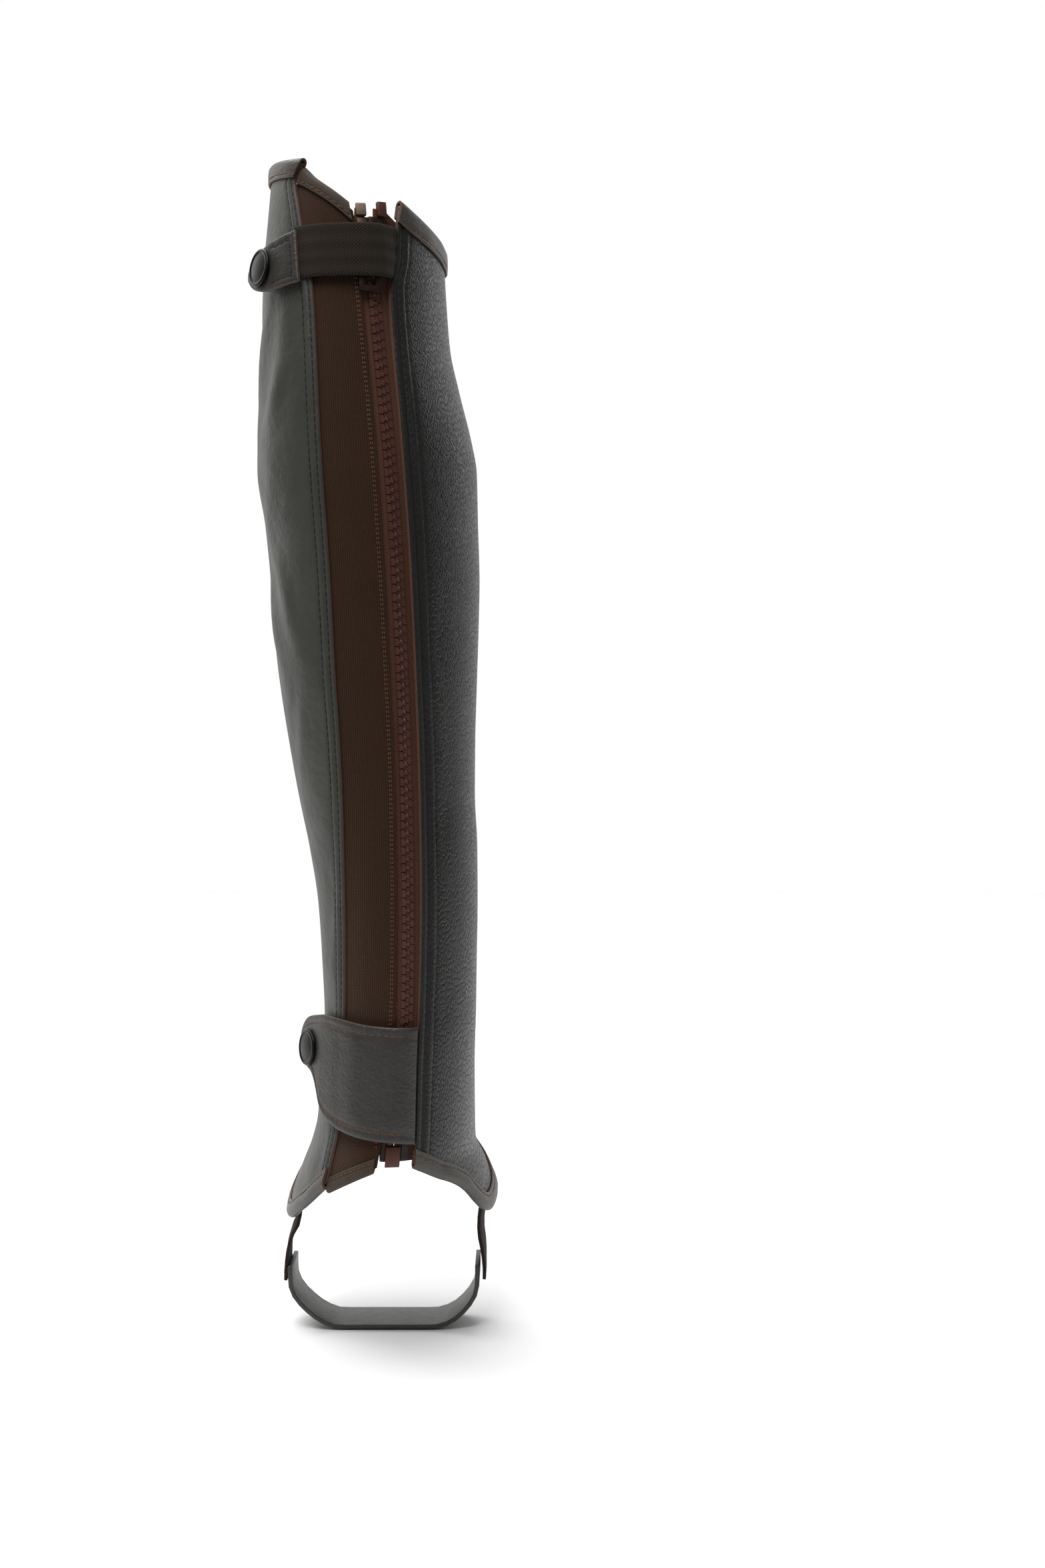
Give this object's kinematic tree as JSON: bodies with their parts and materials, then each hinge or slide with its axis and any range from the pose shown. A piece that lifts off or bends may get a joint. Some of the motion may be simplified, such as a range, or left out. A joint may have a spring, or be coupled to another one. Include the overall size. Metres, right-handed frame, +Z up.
{
  "type": "half chap",
  "caption": "Left-leg half chap of leather with an elastic gusset, a back zip, snapped straps at the top and the ankle, and an elastic strap under the foot.",
  "frame": {"origin": "middle of the calf, in the middle of the hollow leg, where the wearer's leg holds the chap", "axes": "+Z up along the leg, +Y towards the toes, +X to the inner (medial) side of the left leg"},
  "size_m": [0.1026, 0.1324, 0.5035],
  "materials": {
    "smooth_leather": "smooth leather, semi-matt",
    "grained_leather": "pebbled leather with a soft shine",
    "binding_leather": "thin leather strip, folded over the edge",
    "knit_elastic": "ribbed knitted elastic, matt",
    "band_cloth": "cloth-faced elastic binding, matt",
    "zip_tape": "woven zip tape, matt",
    "zip_plastic": "moulded plastic, satin",
    "zip_metal": "darkened cast metal",
    "film": "thin stiffening film on the tape's ends",
    "strap_webbing": "twill-woven elastic webbing, matt",
    "snap_metal": "darkened pressed metal",
    "foot_webbing": "plain woven elastic webbing, matt"
  },
  "bodies": {
    "chap": {"lateral_panel": "smooth_leather", "ankle_flap": "smooth_leather", "top_strap_tab": "smooth_leather", "medial_panel": "grained_leather", "top_binding_lateral": "binding_leather", "top_binding_medial": "binding_leather", "hem_binding_lateral": "binding_leather", "hem_binding_medial": "binding_leather", "foot_strap_sole": "binding_leather", "elastic_gusset": "knit_elastic", "gusset_top_band": "band_cloth", "gusset_hem_band": "band_cloth", "zip_tape_lateral": "zip_tape", "zip_tape_medial": "zip_tape", "zip_chain": "zip_plastic", "zip_top_stop_lateral": "zip_plastic", "zip_top_stop_medial": "zip_plastic", "zip_box": "zip_plastic", "zip_slider": "zip_metal", "film_patch_lateral": "film", "film_patch_medial": "film", "top_strap_elastic": "strap_webbing", "top_snap_cap": "snap_metal", "top_snap_stud": "snap_metal", "ankle_snap_cap": "snap_metal", "ankle_snap_stud": "snap_metal", "foot_elastic_lateral": "foot_webbing", "foot_elastic_medial": "foot_webbing"},
    "pull_tab": {"zip_pull_tab": "zip_metal"}
  },
  "joints": [
    {"name": "pull_tab_swing", "type": "hinge", "parent": "chap", "child": "pull_tab", "pos_m": [0.00761, -0.05417, 0.0775], "axis": [0.3449, -0.9325, 0.1067], "range_deg": [-7, 7]}
  ]
}
